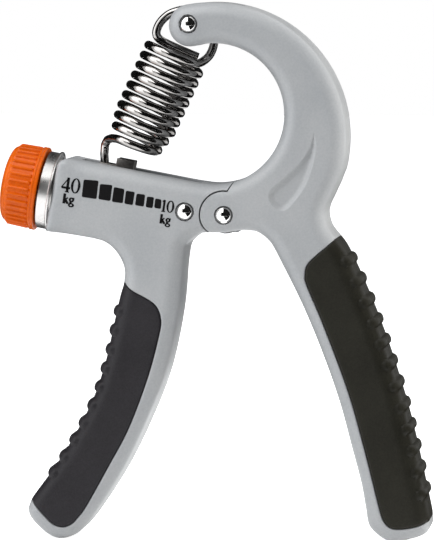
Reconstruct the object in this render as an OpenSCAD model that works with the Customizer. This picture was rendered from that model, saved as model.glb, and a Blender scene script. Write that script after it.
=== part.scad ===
// Adjustable hand grip strengthener: two hinged handles pulled apart by a coil spring whose
// lower end rides on a lead screw. Millimetres, +X to the right, -Y to the front, +Z up.
// The origin is under the middle of the object, on the surface that the leg ends stand on.

/* [Body] */
// Thickness of both handles, front to rear
body_t = 22; // [20:0.5:26]
// Radius of the rounding round both faces
edge_r = 4.2; // [3:0.1:4.6]
// Wall of the moulded half shells
wall = 2; // [1.6:0.1:2.4]
// Height of the hinge pivot above the leg ends
leg_len = 91.6; // [84:0.2:110]
// Place of the pivot, to the right of the middle
pivot_x = 3.6; // [0:0.1:8]

/* [Hinge] */
// Radius of the round cheeks of the right handle
knuckle_r = 6.5; // [6.1:0.1:6.9]
// Gap round the cheeks
knuckle_gap = 0.3; // [0.2:0.05:0.5]
// Radius of the tongue of the left handle
tongue_r = 6.1; // [5.4:0.1:6.3]
// Thickness of the tongue
tongue_t = 10.8; // [8:0.2:12]
// Thickness of each washer between tongue and cheek
washer_t = 0.5; // [0.3:0.1:0.8]
// Radius of the washers
washer_r = 5.4; // [4.2:0.1:5.6]
// Radius of the pivot rivet's shank
pivot_r = 1.7; // [1.4:0.1:2]
// Wall of the bush in the tongue
bush_wall = 1.05; // [0.8:0.05:1.4]
// Gap between the stop faces at rest
stop_gap = 0.2; // [0.1:0.05:0.3]

/* [Rivets] */
// Radius of the housing and arm rivets' shanks
rivet_r = 1.5; // [1.2:0.1:1.8]
// Radius of all domed rivet heads
head_r = 2.4; // [2.3:0.1:3]
// Height of all domed rivet heads
head_h = 1.3; // [1:0.1:1.8]

/* [Arm] */
// Width of the arm at its round tip
tip_w = 11.3; // [10:0.1:12.5]
// Width of the clevis slot for the spring's loop
clevis_w = 3.6; // [3.2:0.1:5]
// Depth of the teardrop recess in both faces
recess_depth = 1; // [0.4:0.1:1.5]

/* [Grips] */
// Thickness of the rubber over the faces
pad_t = 1.6; // [1.2:0.1:2]
// Thickness of the rubber over the outer edge
pad_edge_t = 2.4; // [2:0.1:3]
// Gap between the rubber's edge and the recess round it
pad_gap = 0.15; // [0.1:0.05:0.3]
// Radius of the ridges
ridge_r = 1.9; // [1.5:0.1:2.4]
// How far the ridges stand out
ridge_h = 0.9; // [0.5:0.1:1.2]
// Half length of the straight part of a ridge
ridge_half = 6.4; // [4:0.2:7]
// Ridges on the left grip
left_ridges = 10; // [6:1:11]
// Distance between the left grip's ridges
left_pitch = 5.5; // [4.4:0.1:5.8]
// Ridges on the right grip
right_ridges = 12; // [8:1:13]
// Distance between the right grip's ridges
right_pitch = 6.2; // [4.4:0.1:6.4]

/* [Housing] */
// Height of the housing, square to its axis
housing_h = 21; // [20:0.5:22]
// Slope of the housing's axis, down to the right
tilt = 10.5; // [8:0.5:12]
// Length of the spigot that carries the collar
spigot_len = 3.9; // [3:0.1:5]
// Radius of the spigot
spigot_r = 9; // [8.4:0.1:9.4]
// Radius of the metal collar
collar_r = 10.9; // [10.4:0.1:11.1]
// How far the collar's flange stands out
flange_h = 0.4; // [0.2:0.1:0.6]
// Thickness of the collar's flange
flange_t = 0.6; // [0.4:0.1:1]
// Width of the slot along the top
slot_w = 6.6; // [6.2:0.1:7.4]

/* [Adjuster] */
// Radius of the lead screw over its thread
screw_r = 3; // [2.6:0.1:3.4]
// Depth of the thread
thread_depth = 0.6; // [0.4:0.05:0.8]
// Travel of the carriage for one turn
thread_lead = 2; // [1.5:0.25:2.5]
// Radius of the screw's journal in the end bearing
journal_r = 2; // [1.6:0.1:2.2]
// Radius of the thrust bush
thrust_r = 6; // [5.4:0.1:6.6]
// Radius of the end bearing
end_bearing_r = 3.2; // [2.9:0.1:3.6]
// Radius of the knob's rim
knob_r = 11.8; // [11:0.1:12.4]
// Length of the knob
knob_len = 11.2; // [9:0.1:12]
// Gap between the knob and the collar
knob_gap = 0.5; // [0.3:0.1:0.8]
// Number of ribs round the knob
knob_ribs = 36; // [24:1:40]
// Width and height of the carriage's threaded block
block_w = 10; // [9:0.2:11]
// Radius of the pin that the spring hooks on
pin_r = 1.2; // [1:0.1:1.4]

/* [Spring] */
// Radius of the spring wire
wire_r = 1.2; // [1:0.05:1.3]
// Mean radius of the coil
coil_r = 8.15; // [7.6:0.05:8.6]
// Distance between the turns
coil_pitch = 3.05; // [2.7:0.05:3.2]
// Outer radius of the bush that carries the loop
roller_r = 2.4; // [2.2:0.1:2.6]

/* [Hidden] */
$fn = 64;

// Shared clearances
run = 0.05;       // radial, for whatever turns or slides
seat = 0.05;      // radial, for what is fixed in the shells
eps = 0.01;       // how far a cut runs past a face
half_t = body_t/2;

// ---------------------------------------------------------------- outlines
// Points in these lists are (right, up) from the pivot. Leg points belong to a leg 91.6 long.
leg_root = -20;
leg_drawn = 91.6;
function leg(p) = [p.x, p.y > leg_root ? p.y
    : leg_root + (p.y - leg_root)*(leg_len + leg_root)/(leg_drawn + leg_root)];
function legs(list) = [for (p = list) leg(p)];

// A smooth curve through the points of a list, without its last point
function bend(a, b, c, d, t) = 0.5*(2*b + (c - a)*t + (2*a - 5*b + 4*c - d)*t*t
    + (3*b - a - 3*c + d)*t*t*t);
function smooth(p, steps = 3) = [for (i = [0:len(p) - 2], j = [0:steps - 1])
    bend(p[max(i - 1, 0)], p[i], p[i + 1], p[min(i + 2, len(p) - 1)], j/steps)];
function arc(c, r, a, b, steps) = [for (i = [0:steps])
    c + r*[cos(a + (b - a)*i/steps), sin(a + (b - a)*i/steps)]];
function angle(v) = atan2(v.y, v.x);

// The C-shaped arm: an opening, a back and a round tip that touches both
arm_rivet_at = [-9.9, 52.9];
opening_c = [-3.4, 28];
back_c = [-4.2, 21.1];
tip_r = tip_w/2;
opening_r = norm(arm_rivet_at - opening_c) - tip_r;
back_r = norm(arm_rivet_at - back_c) + tip_r;
tip_start = angle(opening_c - arm_rivet_at);
tip_end = angle(arm_rivet_at - back_c) - 360;
back_end = -14;

// The housing of the screw: its axis starts at the collar and slopes down to the right
housing_at = [-48.4, 5.5];
along = [cos(tilt), -sin(tilt)];
across = [sin(tilt), cos(tilt)];
function in_housing(u, v) = housing_at + u*along + v*across;
housing_len = 38;
housing_rivet_at = [-10.9, 0.9];

// Where the two handles meet above the pivot, and under it
stop_low = [0.9, 6.6];
stop_angle = -74;
stop_high = opening_c + opening_r*[cos(stop_angle), sin(stop_angle)];
under_z = -5.05;
under_x = -4.3;

left_crotch = [[under_x, under_z], [-6.5, -5.2], [-8.1, -6.05], [-9.9, -7.4], [-11.3, -9.45],
    [-12.1, -15]];
left_inner = legs([[-12.1, -15], [-12.9, -25.1], [-14.6, -35.2], [-17.1, -45.3], [-21.1, -55.8],
    [-27.4, -69.3], [-33.5, -79.5], [-38.2, -86.3]]);
left_end = legs([[-38.2, -86.3], [-41.3, -89.8], [-44.6, -91.4], [-47.5, -91.6], [-50, -90.6],
    [-52.7, -88.5], [-55, -85.9], [-55.8, -83.6], [-55.2, -81.3]]);
left_outer = legs([[-55.2, -81.3], [-54.1, -79.4], [-47.9, -70.9], [-42.2, -61.7], [-37.1, -51.5],
    [-33.6, -41], [-31.3, -30.8], [-29.6, -23.3], [-28.6, -20]]);
left_shoulder = [[-28.6, -20], [-28.2, -16.2], [-29.1, -13], [-31.2, -9.9], [-33.9, -7.9],
    [-37.4, -6.9]];
right_neck = [[31.1, 8.4], [29.6, 5.2], [28.3, 2.4], [27.9, 0], [28.8, -3.4], [31.3, -6.6]];
right_outer = legs([[31.3, -6.6], [33.8, -10.4], [38.9, -21.5], [43.5, -33.1], [47.4, -44.5],
    [51, -56.5], [53.9, -68.6], [56.4, -80], [57.2, -84]]);
right_end = legs([[57.2, -84], [57.2, -87.2], [55.2, -89], [51.8, -90.1], [48.6, -90.9],
    [44.8, -90.2], [40.7, -86.7], [39.6, -81.8]]);
right_inner = legs([[39.6, -81.8], [38.2, -74.3], [35.7, -64.9], [32, -51.4], [27.2, -37.9],
    [21.5, -24.4], [14.7, -10.9]]);
right_crotch = [[14.7, -10.9], [12.6, -7.4], [9.4, -4.9], [6.2, -4.35], [3.2, -4.5],
    [0, under_z]];
left_pad_edge = legs([[-27.9, -19.2], [-26.1, -21], [-21.1, -23.7], [-18.8, -25.6],
    [-17.6, -28.6], [-17.8, -32.6], [-21.1, -45.2], [-26.6, -59.8], [-32.2, -70.4],
    [-38.7, -82], [-41.3, -85.5], [-42.8, -87.1], [-45.3, -88.1], [-48.3, -87.3],
    [-51.3, -84.4], [-54.6, -80.9]]);
right_pad_edge = legs([[31.9, -5.6], [28.9, -8.3], [24.9, -11.8], [23.2, -13.8], [22.7, -16.4],
    [23.2, -19.3], [27.8, -30.1], [34.7, -48.4], [39.3, -64.4], [43.2, -79.8], [44.3, -83.7],
    [45.6, -85.9], [47.4, -86.9], [50.3, -86.9], [54.3, -86.1], [58.4, -84.3]]);
recess_line = [[25.3, 24], [24.1, 19.2], [21.6, 15.2], [17.6, 11.1], [13.5, 7.6], [12.5, 5.1],
    [14, 2.3], [17, 1.4], [20.1, 4.2], [23.1, 8.7], [25.1, 14.7], [25.8, 19.8], [25.3, 24]];
pad_far = 8;      // how far the pads' cutting outlines run out past the legs
joint_close = 0.3;  // half the widest joint line that the rounding runs across

module left_outline() polygon(concat(
    [in_housing(0, -housing_h/2), in_housing(0, housing_h/2), in_housing(housing_len, housing_h/2)],
    arc(opening_c, opening_r, -98, stop_angle, 4), [stop_low, [0, 0]],
    smooth(left_crotch), smooth(left_inner), smooth(left_end), smooth(left_outer),
    smooth(left_shoulder), [left_shoulder[5]]));

module right_outline() polygon(concat(
    [[0, 0], stop_low + [stop_gap, 0], stop_high + [stop_gap, 0]],
    arc(opening_c, opening_r, stop_angle + 3, tip_start + 180, 36),
    arc(arm_rivet_at, tip_r, tip_start - 12, tip_end + 12, 12),
    arc(back_c, back_r, tip_end + 360, back_end, 26),
    smooth(right_neck), smooth(right_outer), smooth(right_end), smooth(right_inner),
    smooth(right_crotch)));

module left_pad() polygon(concat(smooth(left_pad_edge),
    [left_pad_edge[15] - [pad_far, 0], left_pad_edge[0] - [pad_far, 0]]));

module right_pad() polygon(concat(smooth(right_pad_edge),
    [right_pad_edge[15] + [pad_far, 0], right_pad_edge[0] + [pad_far, 0]]));

// ---------------------------------------------------------------- layers of a half shell
// Each half is built of layers from the middle plane outwards. They step in to follow edge_r.
cheek_in = tongue_t/2 + washer_t + 2*run;
steps_at = [cheek_in, half_t - 0.55*edge_r, half_t - 0.22*edge_r, half_t];
function step_in(w) = let (t = max(0, w - half_t + edge_r)) edge_r - sqrt(edge_r*edge_r - t*t);

module layer(low, high) translate([0, 0, low]) linear_extrude(high - low) children();

// Both handles in one, with the joints between them closed, for the rounding round the faces
module whole_outline() offset(delta = -joint_close) offset(delta = joint_close) union() {
    left_outline();
    right_cheek_area();
}

// The rounded outer layers of the part of the whole that the child covers
module crown() for (i = [0:2])
    layer(steps_at[i], steps_at[i + 1]) intersection() {
        offset(delta = -step_in((steps_at[i] + steps_at[i + 1])/2)) whole_outline();
        children();
    }

// Turns layers drawn upwards into the front half, or its mirror image behind
module half_of(side) translate([pivot_x, 0, leg_len]) mirror([0, side == "rear" ? 1 : 0, 0])
    rotate([90, 0, 0]) children();

// Puts a child drawn along Z on a cross axis at a point
module cross_axis(p) translate([pivot_x + p.x, 0, leg_len + p.y]) rotate([90, 0, 0]) children();

// Puts a child drawn along Z on the screw's axis, u from the collar
module screw_axis(u) translate([pivot_x, 0, leg_len])
    translate([in_housing(u, 0).x, 0, in_housing(u, 0).y]) rotate([0, 90 + tilt, 0]) children();

// A box in the housing, from u, v and across +-w/2
module housing_box(u0, u1, v0, v1, w) translate([pivot_x + housing_at.x, 0, leg_len + housing_at.y])
    rotate([0, tilt, 0]) translate([u0, -w/2, v0]) cube([u1 - u0, w, v1 - v0]);

// ---------------------------------------------------------------- screws of the shells
screw_shank_r = 1.25;
screw_head_r = 2.3;
screw_head_t = 1.5;
screw_reach = 7;
boss_r = 3.3;
screw_seat = half_t - pad_t - 0.3 - screw_head_t;
left_screws_at = [[-20.5, -12.6], leg([-32.5, -60.5])];
right_screws_at = [[22.5, -5], leg([43.3, -58.5]), [24.5, 33]];

module shell_screws(places) for (p = places) cross_axis(p) {
    translate([0, 0, -screw_seat]) cylinder(r = screw_shank_r, h = screw_seat + screw_reach);
    translate([0, 0, -screw_seat - screw_head_t]) cylinder(r = screw_head_r, h = screw_head_t);
}

module screw_holes(places, side) for (p = places) cross_axis(p) {
    cylinder(r = screw_shank_r + seat, h = 2*(screw_reach + 0.4), center = true);
    if (side == "rear") {
        translate([0, 0, -half_t - eps]) cylinder(r = screw_shank_r + seat, h = half_t + eps);
        translate([0, 0, -half_t - eps])
            cylinder(r = screw_head_r + 0.15, h = half_t + eps - screw_seat);
    }
}

// ---------------------------------------------------------------- left handle
cavity_top = half_t - pad_t - wall;
channel_start = 3.5;
channel_end = 34.4;
pin_at = [15, 8];   // the hook pin at rest, along and above the screw's axis
block_back = 4.5;   // reach of the carriage's block from the pin towards the knob
travel_back = 4.5;  // how far the carriage runs towards the knob
slot_start = pin_at.x - block_back - travel_back - 0.4;
slot_end = 40;
slot_floor = 4.6;
end_bearing_len = (housing_rivet_at - housing_at)*along - rivet_r - 0.2 - channel_end;

module left_front_area() difference() {
    left_outline();
    circle(r = knuckle_r + knuckle_gap);
}

module left_core_area() intersection() {
    offset(delta = -pad_edge_t) left_outline();
    left_pad();
}

module left_mid_area() union() {
    difference() {
        left_front_area();
        left_pad();
    }
    left_core_area();
}

module left_tongue_area() union() {
    intersection() {
        left_outline();
        circle(r = knuckle_r + knuckle_gap + 0.4);
    }
    circle(r = tongue_r);
}

module left_cavity_area() difference() {
    intersection() {
        offset(delta = -wall) left_mid_area();
        translate([-80, -leg_len]) square([80, leg_len - 19]);
    }
    for (p = left_screws_at) translate(p) circle(r = boss_r);
}

module left_half(side) difference() {
    union() {
        half_of(side) {
            layer(0, cheek_in) left_mid_area();
            layer(0, tongue_t/2) left_tongue_area();
            difference() {
                crown() left_front_area();
                layer(0, half_t + eps) left_pad();
            }
            layer(0, half_t - pad_t) left_core_area();
        }
        intersection() {
            screw_axis(-spigot_len) cylinder(r = spigot_r, h = spigot_len + 1);
            half_of(side) layer(0, half_t) square([200, 200], center = true);
        }
    }
    half_of(side) layer(-eps, cavity_top) left_cavity_area();
    housing_box(channel_start, channel_end, -block_w/2 - 0.1, block_w/2 + 0.1, block_w + 0.2);
    housing_box(slot_start, slot_end, slot_floor, housing_h/2 + 1, slot_w);
    screw_axis(-spigot_len - eps) cylinder(r = thrust_r + seat, h = spigot_len + channel_start + 2*eps);
    screw_axis(channel_end - eps) cylinder(r = end_bearing_r + seat, h = end_bearing_len + 2*eps);
    cross_axis(housing_rivet_at) cylinder(r = rivet_r + seat, h = body_t + 2, center = true);
    cross_axis([0, 0]) cylinder(r = pivot_r + run + bush_wall + seat, h = body_t + 2, center = true);
    screw_holes(left_screws_at, side);
}

module left_shell_front() color([0.72, 0.73, 0.76]) left_half("front");
module left_shell_rear() color([0.72, 0.73, 0.76]) left_half("rear");
module left_shell_screws() color("dimgray") shell_screws(left_screws_at);

// ---------------------------------------------------------------- grips
// The point and the direction of a curve at a distance from its start
function walk(c, s, i = 0) = let (d = norm(c[i + 1] - c[i]))
    s <= d || i >= len(c) - 2 ? [c[i] + (c[i + 1] - c[i])*s/d, (c[i + 1] - c[i])/d]
    : walk(c, s - d, i + 1);

// Half the ridges of a grip; turn is 1 where the rubber lies to the right of the curve
module ridges(curve, start, pitch, count, turn) for (i = [0:count - 1]) {
    place = walk(curve, start + i*pitch);
    inward = turn*[place[1].y, -place[1].x];
    centre = place[0] + inward*(ridge_r - ridge_h);
    translate([centre.x, centre.y, 0]) {
        cylinder(r = ridge_r, h = ridge_half, $fn = 32);
        translate([0, 0, ridge_half]) sphere(r = ridge_r, $fn = 32);
    }
}

left_ridge_start = 10.4;
right_ridge_start = 7;

module left_grip() color([0.18, 0.17, 0.19]) for (side = ["front", "rear"])
    half_of(side) difference() {
        union() {
            intersection() {
                union() {
                    layer(0, cheek_in) left_outline();
                    crown() left_outline();
                }
                layer(0, half_t) offset(delta = -pad_gap) left_pad();
            }
            ridges(smooth(left_outer), left_ridge_start, left_pitch, left_ridges, 1);
        }
        layer(-eps, half_t - pad_t) offset(delta = -pad_edge_t) left_outline();
    }

module right_grip() color([0.17, 0.165, 0.14]) for (side = ["front", "rear"])
    half_of(side) difference() {
        union() {
            intersection() {
                union() {
                    layer(0, cheek_in) right_outline();
                    crown() right_outline();
                }
                layer(0, half_t) offset(delta = -pad_gap) right_pad();
            }
            ridges(smooth(right_outer), right_ridge_start, right_pitch, right_ridges, 1);
        }
        layer(-eps, half_t - pad_t) offset(delta = -pad_edge_t) right_outline();
    }

// ---------------------------------------------------------------- right handle
clevis_r = 15.5;
arm_wall = 3;
hub_keep_r = 11;
tip_keep_r = 19;

module right_cheek_area() union() {
    right_outline();
    intersection() {
        circle(r = knuckle_r);
        translate([-20, under_z]) square([40, 40]);
    }
}

module right_front_area() difference() {
    right_cheek_area();
    right_pad();
}

module right_core_area() intersection() {
    offset(delta = -pad_edge_t) right_outline();
    right_pad();
}

module right_mid_area() difference() {
    union() {
        difference() {
            right_outline();
            right_pad();
        }
        right_core_area();
    }
    circle(r = knuckle_r + knuckle_gap + 0.4 + 0.3);
}

module right_cavity_area() difference() {
    offset(delta = -arm_wall) right_mid_area();
    circle(r = hub_keep_r);
    translate(arm_rivet_at) circle(r = tip_keep_r);
    for (p = right_screws_at) translate(p) circle(r = boss_r);
}

module right_half(side) difference() {
    half_of(side) {
        layer(0, cheek_in) right_mid_area();
        difference() {
            crown() right_cheek_area();
            layer(0, half_t + eps) right_pad();
        }
        layer(0, half_t - pad_t) right_core_area();
    }
    half_of(side) {
        layer(-eps, cavity_top) right_cavity_area();
        layer(half_t - recess_depth, half_t + eps) polygon(smooth(recess_line, 2));
    }
    cross_axis(arm_rivet_at) cylinder(r = clevis_r, h = clevis_w, center = true);
    cross_axis(arm_rivet_at) cylinder(r = rivet_r + seat, h = body_t + 2, center = true);
    cross_axis([0, 0]) cylinder(r = pivot_r + run, h = body_t + 2, center = true);
    screw_holes(right_screws_at, side);
}

module right_shell_front() color([0.72, 0.73, 0.75]) right_half("front");
module right_shell_rear() color([0.72, 0.73, 0.75]) right_half("rear");
module right_shell_screws() color("dimgray") shell_screws(right_screws_at);

// ---------------------------------------------------------------- rivets, bush and washers
module dome(r, h) intersection() {
    translate([0, 0, h - (r*r + h*h)/(2*h)]) sphere(r = (r*r + h*h)/(2*h));
    cylinder(r = r, h = h);
}

module rivet(p, r) color([0.85, 0.85, 0.87]) cross_axis(p) {
    cylinder(r = r, h = body_t, center = true);
    for (flip = [0, 180]) rotate([flip, 0, 0]) translate([0, 0, half_t]) dome(head_r, head_h);
}

module housing_rivet() rivet(housing_rivet_at, rivet_r);
module arm_rivet() rivet(arm_rivet_at, rivet_r);
module pivot_rivet() rivet([0, 0], pivot_r);

module pivot_bush() color("darkgoldenrod") cross_axis([0, 0]) difference() {
    cylinder(r = pivot_r + run + bush_wall, h = tongue_t, center = true);
    cylinder(r = pivot_r + run, h = tongue_t + 1, center = true);
}

module pivot_washers() color("silver") cross_axis([0, 0])
    for (flip = [0, 180]) rotate([flip, 0, 0]) translate([0, 0, tongue_t/2 + run]) difference() {
        cylinder(r = washer_r, h = washer_t);
        translate([0, 0, -eps]) cylinder(r = pivot_r + run, h = washer_t + 2*eps);
    }

// ---------------------------------------------------------------- collar and bearings
module collar() color([0.75, 0.75, 0.76]) screw_axis(-spigot_len) difference() {
    union() {
        cylinder(r = collar_r, h = spigot_len - eps);
        translate([0, 0, spigot_len - flange_t]) cylinder(r = collar_r + flange_h, h = flange_t - eps);
    }
    translate([0, 0, -eps]) cylinder(r = spigot_r + seat, h = spigot_len + 1);
}

module thrust_bush() color("goldenrod") screw_axis(-spigot_len) difference() {
    cylinder(r = thrust_r, h = spigot_len + channel_start);
    translate([0, 0, -eps]) cylinder(r = screw_r + run, h = spigot_len + channel_start + 1);
}

module end_bearing() color("goldenrod") screw_axis(channel_end) difference() {
    cylinder(r = end_bearing_r, h = end_bearing_len);
    translate([0, 0, -eps]) cylinder(r = journal_r + run, h = end_bearing_len + 2*eps);
}

// ---------------------------------------------------------------- lead screw, clip and knob
thrust_washer_t = 0.4;
thrust_face = -spigot_len - thrust_washer_t - 2*run;
clip_t = 0.7;
clip_at = channel_start + run;
clip_groove_r = 2.2;
thread_start = clip_at + clip_t + 0.1;
thread_end = channel_end - 0.1;
head_hex_r = 3.4;
head_len = 5;
collar_flange_t = 1;
collar_flange_r = 4.8;

// A threaded rod along Z: its radius follows a helix
thread_sides = 16;
thread_rows = 8;
thread_fit = 0.2;
function thread_wave(t) = let (f = t - floor(t)) min(1, max(0, 1.6 - 4*abs(f - 0.5)));
function thread_radius(z, a, core, depth, lead) = core + depth*thread_wave(z/lead - a/360);

module threaded_rod(core, depth, lead, length) {
    rows = ceil(length/lead*thread_rows);
    dz = length/rows;
    points = [for (i = [0:rows], j = [0:thread_sides - 1])
        let (a = 360*j/thread_sides, r = thread_radius(i*dz, a, core, depth, lead))
        [r*cos(a), r*sin(a), i*dz]];
    tip = len(points);
    sides = [for (i = [0:rows - 1], j = [0:thread_sides - 1], k = [0, 1])
        let (a = i*thread_sides + j, b = i*thread_sides + (j + 1)%thread_sides)
        k == 0 ? [a, a + thread_sides, b + thread_sides] : [a, b + thread_sides, b]];
    low = [for (j = [0:thread_sides - 1]) [tip, j, (j + 1)%thread_sides]];
    high = [for (j = [0:thread_sides - 1])
        [tip + 1, rows*thread_sides + (j + 1)%thread_sides, rows*thread_sides + j]];
    polyhedron(concat(points, [[0, 0, 0], [0, 0, length]]), concat(sides, low, high), 4);
}

module lead_screw() color([0.55, 0.55, 0.57]) {
    screw_axis(thread_start)
        threaded_rod(screw_r - thread_depth, thread_depth, thread_lead, thread_end - thread_start);
    screw_axis(thrust_face - eps) cylinder(r = screw_r, h = clip_at - thrust_face);
    screw_axis(clip_at - 0.2) cylinder(r = clip_groove_r, h = thread_start - clip_at + 0.4);
    screw_axis(thread_end - 0.2) cylinder(r = journal_r, h = end_bearing_len + 0.1);
    screw_axis(thrust_face - collar_flange_t) cylinder(r = collar_flange_r, h = collar_flange_t);
    screw_axis(thrust_face - collar_flange_t - head_len)
        cylinder(r = head_hex_r, h = head_len + eps, $fn = 6);
}

module thrust_washer() color("silver") screw_axis(-spigot_len - thrust_washer_t - run) difference() {
    cylinder(r = collar_flange_r, h = thrust_washer_t);
    translate([0, 0, -eps]) cylinder(r = screw_r + run, h = thrust_washer_t + 2*eps);
}

module retaining_clip() color("dimgray") screw_axis(clip_at + run) difference() {
    cylinder(r = thrust_r - 1.4, h = clip_t - run);
    translate([0, 0, -eps]) cylinder(r = clip_groove_r + seat, h = clip_t + 2*eps);
    translate([0, -clip_groove_r, -eps]) cube([thrust_r, 2*clip_groove_r, clip_t + 2*eps]);
}

knob_wall = 1.8;
knob_taper = 0.85;  // the ribbed body's radius is this much less than the rim's
knob_dome = 2.4;    // height of the domed end
knob_bevel = 0.6;   // length of the slope between the ribs and the dome
rim_len = 1.7;
rib_r = 0.5;
hub_r = 5;
knob_body_r = knob_r - knob_taper;
dome_at = knob_len - knob_dome;
function knob_profile() = concat(
    [[0, 0], [knob_r, 0], [knob_r, rim_len - 0.4], [knob_r - 0.4, rim_len],
    [knob_body_r, rim_len + 0.1], [knob_body_r, dome_at - knob_bevel]],
    [for (a = [0:10:90]) [(knob_body_r - 0.35)*cos(a), dome_at + knob_dome*sin(a)]]);

module knob() color([0.9, 0.36, 0.1]) {
    knob_face = -spigot_len - knob_gap;
    difference() {
        screw_axis(knob_face) mirror([0, 0, 1]) {
            rotate_extrude() polygon(knob_profile());
            for (i = [0:knob_ribs - 1]) rotate([0, 0, 360*i/knob_ribs])
                translate([knob_body_r - 0.1, 0, rim_len - 0.5])
                    cylinder(r = rib_r, h = dome_at - knob_bevel - rim_len + 0.7, $fn = 16);
        }
        screw_axis(knob_face) mirror([0, 0, 1]) translate([0, 0, -eps]) difference() {
            cylinder(r = knob_body_r - knob_wall, h = dome_at);
            translate([0, 0, -1]) cylinder(r = hub_r, h = dome_at + 2);
        }
        screw_axis(thrust_face - collar_flange_t - head_len)
            cylinder(r = head_hex_r + seat, h = head_len + 1, $fn = 6);
        screw_axis(thrust_face - collar_flange_t - 0.1)
            cylinder(r = hub_r + 1, h = collar_flange_t + 5);
    }
}

// ---------------------------------------------------------------- carriage
block_front = 3.7;
riser_front = 5.3;
riser_top = 12.8;
fork_top = 10.8;
fork_slot = 2*wire_r + 0.6;
fork_floor = pin_at.y - pin_r - 2*wire_r - 0.35;
riser_w = slot_w - 0.4;
nut_thread_len = block_back + block_front + 3*thread_lead;

module carriage_nut() color([0.35, 0.35, 0.36]) difference() {
    union() {
        housing_box(pin_at.x - block_back, pin_at.x + block_front, -block_w/2, block_w/2, block_w);
        housing_box(pin_at.x - block_back, pin_at.x + 0.4, 0, fork_top, riser_w);
        housing_box(pin_at.x + 0.3, pin_at.x + riser_front, block_w/2, riser_top, riser_w);
    }
    housing_box(pin_at.x - block_back - 1, pin_at.x + pin_r + 2*wire_r + 0.5, fork_floor,
        riser_top + 1, fork_slot);
    screw_axis(thread_start + 2*thread_lead) threaded_rod(screw_r - thread_depth + thread_fit,
        thread_depth, thread_lead, nut_thread_len);
    cross_axis(in_housing(pin_at.x, pin_at.y))
        cylinder(r = pin_r + seat, h = slot_w + 2, center = true);
}

module hook_pin() color("silver") cross_axis(in_housing(pin_at.x, pin_at.y))
    cylinder(r = pin_r, h = riser_w, center = true);

// ---------------------------------------------------------------- spring
module spring_roller() color("silver") cross_axis(arm_rivet_at) difference() {
    cylinder(r = roller_r, h = clevis_w - 0.2, center = true);
    cylinder(r = rivet_r + run, h = clevis_w + 1, center = true);
}

// The spring's own frame: s along the coil from the arm rivet, p to its right, y backwards
coil_tilt = 24.8;
coil_shift = -0.8;
coil_start = 9.2;
coil_turns = 9.5;
split_turn = 6.5;
sides = 8;
steps = 14;
touch = 0.1;      // gap between the spring and what it hooks on
function in_spring(s, p, y) = [arm_rivet_at.x - s*sin(coil_tilt) + p*cos(coil_tilt), y,
    arm_rivet_at.y - s*cos(coil_tilt) - p*sin(coil_tilt)];

// The loop lies in the middle plane: it starts across the coil's top, goes up on the left and
// over the bush, and comes down on the right to the first turn. Points are (s, p).
loop_line = [[8, 4.5], [8.1, 1.4], [8.2, -1.7], [8.2, -4.8], [8, -6.9], [7.1, -8.2],
    [5.5, -8.65], [3.6, -8.55], [1.9, -8], [0.3, -7.1], [-1.1, -5.7], [-2.5, -3.9], [-3.4, -2.1],
    [-(roller_r + wire_r + touch), 0], [-3.3, 2.1], [-2.3, 4], [-0.9, 5.7], [0.9, 7], [2.8, 7.75],
    [4.9, 8], [6.5, 7.85]];
first_bend = [in_spring(7.7, 7.55, -0.3), in_spring(8.6, 6.9, -1.9)];

// The last turns draw in towards the hook
draw_from = 7;
draw_in = 0.7;
function turn_r(n) = coil_r - draw_in*max(0, n - draw_from);
function turn_point(n) = in_spring(coil_start + coil_pitch*n, coil_shift + turn_r(n)*cos(360*n),
    -turn_r(n)*sin(360*n));
upper_path = concat([for (p = smooth(loop_line, 2)) in_spring(p.x, p.y, 0)],
    [in_spring(6.5, 7.85, 0)], first_bend, [for (i = [1:steps*split_turn]) turn_point(i/steps)]);
pin_xz = in_housing(pin_at.x, pin_at.y);
hook_r = pin_r + wire_r + touch;
last_bend = [for (p = [[38.4, 0.9, -1.7], [39.5, 0.5, -0.5], [40.9, 0.1, 0], [42.5, 0.3, 0]])
    in_spring(p.x, coil_shift - coil_r + p.y, p.z)];
lower_path = concat([for (i = [steps*split_turn:steps*coil_turns - 2]) turn_point(i/steps)],
    last_bend,
    [for (a = [175:20:375]) [pin_xz.x + hook_r*cos(a), 0, pin_xz.y + hook_r*sin(a)]]);

function unit(v) = v/norm(v);
function heading(p, i) = unit(p[i + 2] - p[i]);
function square_to(v, t) = unit(v - (v*t)*t);
function carried(p, first, count) = [for (i = 0, v = square_to(first, heading(p, 0)); i < count;
    i = i + 1, v = i < count ? square_to(v, heading(p, i)) : v) v];

// A round wire along a path; before and after are where it comes from and goes on to
module wire(path, r, first, before, after) {
    count = len(path);
    longer = concat([before], path, [after]);
    side_of = carried(longer, first, count);
    points = [for (i = [0:count - 1], j = [0:sides - 1])
        let (a = 360*j/sides, up = cross(heading(longer, i), side_of[i]))
        path[i] + r*(cos(a)*side_of[i] + sin(a)*up)];
    last = (count - 1)*sides;
    skin = [for (i = [0:count - 2], j = [0:sides - 1], k = [0, 1])
        let (a = i*sides + j, b = i*sides + (j + 1)%sides)
        k == 0 ? [a, a + sides, b + sides] : [a, b + sides, b]];
    polyhedron(points, concat(skin, [[for (j = [0:sides - 1]) j]],
        [[for (j = [0:sides - 1]) last + sides - 1 - j]]), 4);
}

module spring_upper() color([0.6, 0.6, 0.62]) translate([pivot_x, 0, leg_len])
    wire(upper_path, wire_r, [0, 1, 0], in_spring(8, 5, 0),
        turn_point(split_turn + 1/steps));

module spring_lower() color([0.6, 0.6, 0.62]) translate([pivot_x, 0, leg_len])
    wire(lower_path, wire_r, [0, 0, 1], turn_point(split_turn - 1/steps),
        lower_path[len(lower_path) - 1] + [0.3, 0, 1]);

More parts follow.
